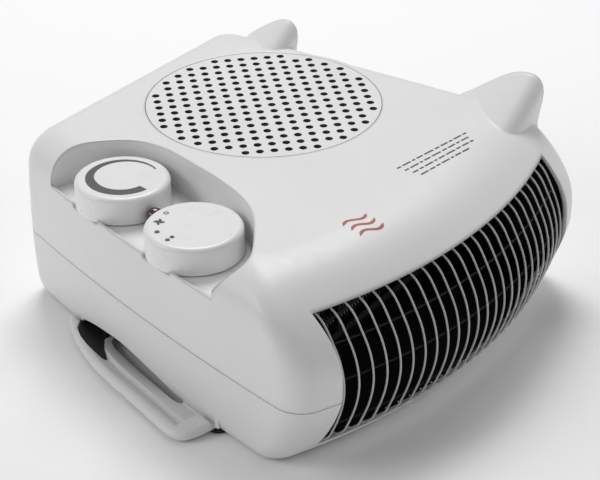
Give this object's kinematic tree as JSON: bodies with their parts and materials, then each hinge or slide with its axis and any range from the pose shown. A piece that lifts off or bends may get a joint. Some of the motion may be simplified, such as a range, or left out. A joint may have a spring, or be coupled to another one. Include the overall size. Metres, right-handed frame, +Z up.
{
  "type": "fan convector heater",
  "caption": "Portable fan heater that stands flat or upright, with a round top intake, two rotary controls, a bowed wire outlet grille and a carrying bar.",
  "frame": {"origin": "centre of the bounding box in plan, at the bottom of the feet", "axes": "+Z up in the flat standing position, -Y towards the outlet grille, -X towards the controls and the carrying bar"},
  "size_m": [0.2562, 0.2644, 0.1201],
  "materials": {
    "housing": "finely textured moulded plastic, light grey-white",
    "housing_lower": "finely textured moulded plastic, light grey-white",
    "liner_black": "black moulded plastic",
    "rubber_black": "black moulded rubber",
    "steel": "zinc-plated steel",
    "outlet_black": "matt black heat-resistant paint",
    "wire_grey": "satin light grey coating",
    "duct_black": "black glass-filled plastic",
    "fan_black": "black moulded plastic",
    "mica": "pressed mica board",
    "nichrome": "oxidised resistance wire",
    "phenolic": "dark brown moulded phenolic",
    "brass": "turned brass",
    "knob_white": "smooth satin white plastic",
    "print_grey": "matt dark grey print",
    "lamp_lens": "polished milky lens",
    "nylon_white": "natural nylon"
  },
  "bodies": {
    "housing": {"top_cover": "housing", "intake_grille": "housing", "lower_housing": "housing_lower", "base_handle": "housing_lower", "handle_pocket": "liner_black", "rubber_feet": "rubber_black", "housing_screws": "steel", "outlet_liner": "outlet_black", "outlet_wires": "wire_grey", "outlet_cross_rods": "outlet_black", "fan_duct": "duct_black", "duct_cover": "duct_black", "motor_bracket": "steel", "motor_housing": "steel", "motor_screws": "steel", "heater_frame": "mica", "heater_coils": "nichrome", "thermal_cutout": "phenolic", "thermal_fuse": "steel", "thermostat_body": "phenolic", "rotary_switch": "phenolic", "pilot_lamp": "lamp_lens", "cord_inlet_bush": "rubber_black", "terminal_block": "nylon_white"},
    "fan": {"motor_shaft": "steel", "fan_impeller": "fan_black", "fan_clip": "steel"},
    "thermostat_dial": {"thermostat_knob": "knob_white", "thermostat_spindle": "brass", "thermostat_mark": "print_grey"},
    "function_dial": {"function_knob": "knob_white", "switch_shaft": "brass", "function_marks": "print_grey"}
  },
  "joints": [
    {"name": "fan_spin", "type": "hinge", "parent": "housing", "child": "fan", "pos_m": [0.04455, 0.0423, 0.05], "axis": [0, 0, 1], "continuous": true},
    {"name": "thermostat_turn", "type": "hinge", "parent": "housing", "child": "thermostat_dial", "pos_m": [-0.05855, 0.0583, 0.085], "axis": [0, 0, 1], "range_deg": [-270, 0]},
    {"name": "function_turn", "type": "hinge", "parent": "housing", "child": "function_dial", "pos_m": [-0.07645, -0.0038, 0.085], "axis": [0, 0, 1], "range_deg": [-90, 0]}
  ]
}
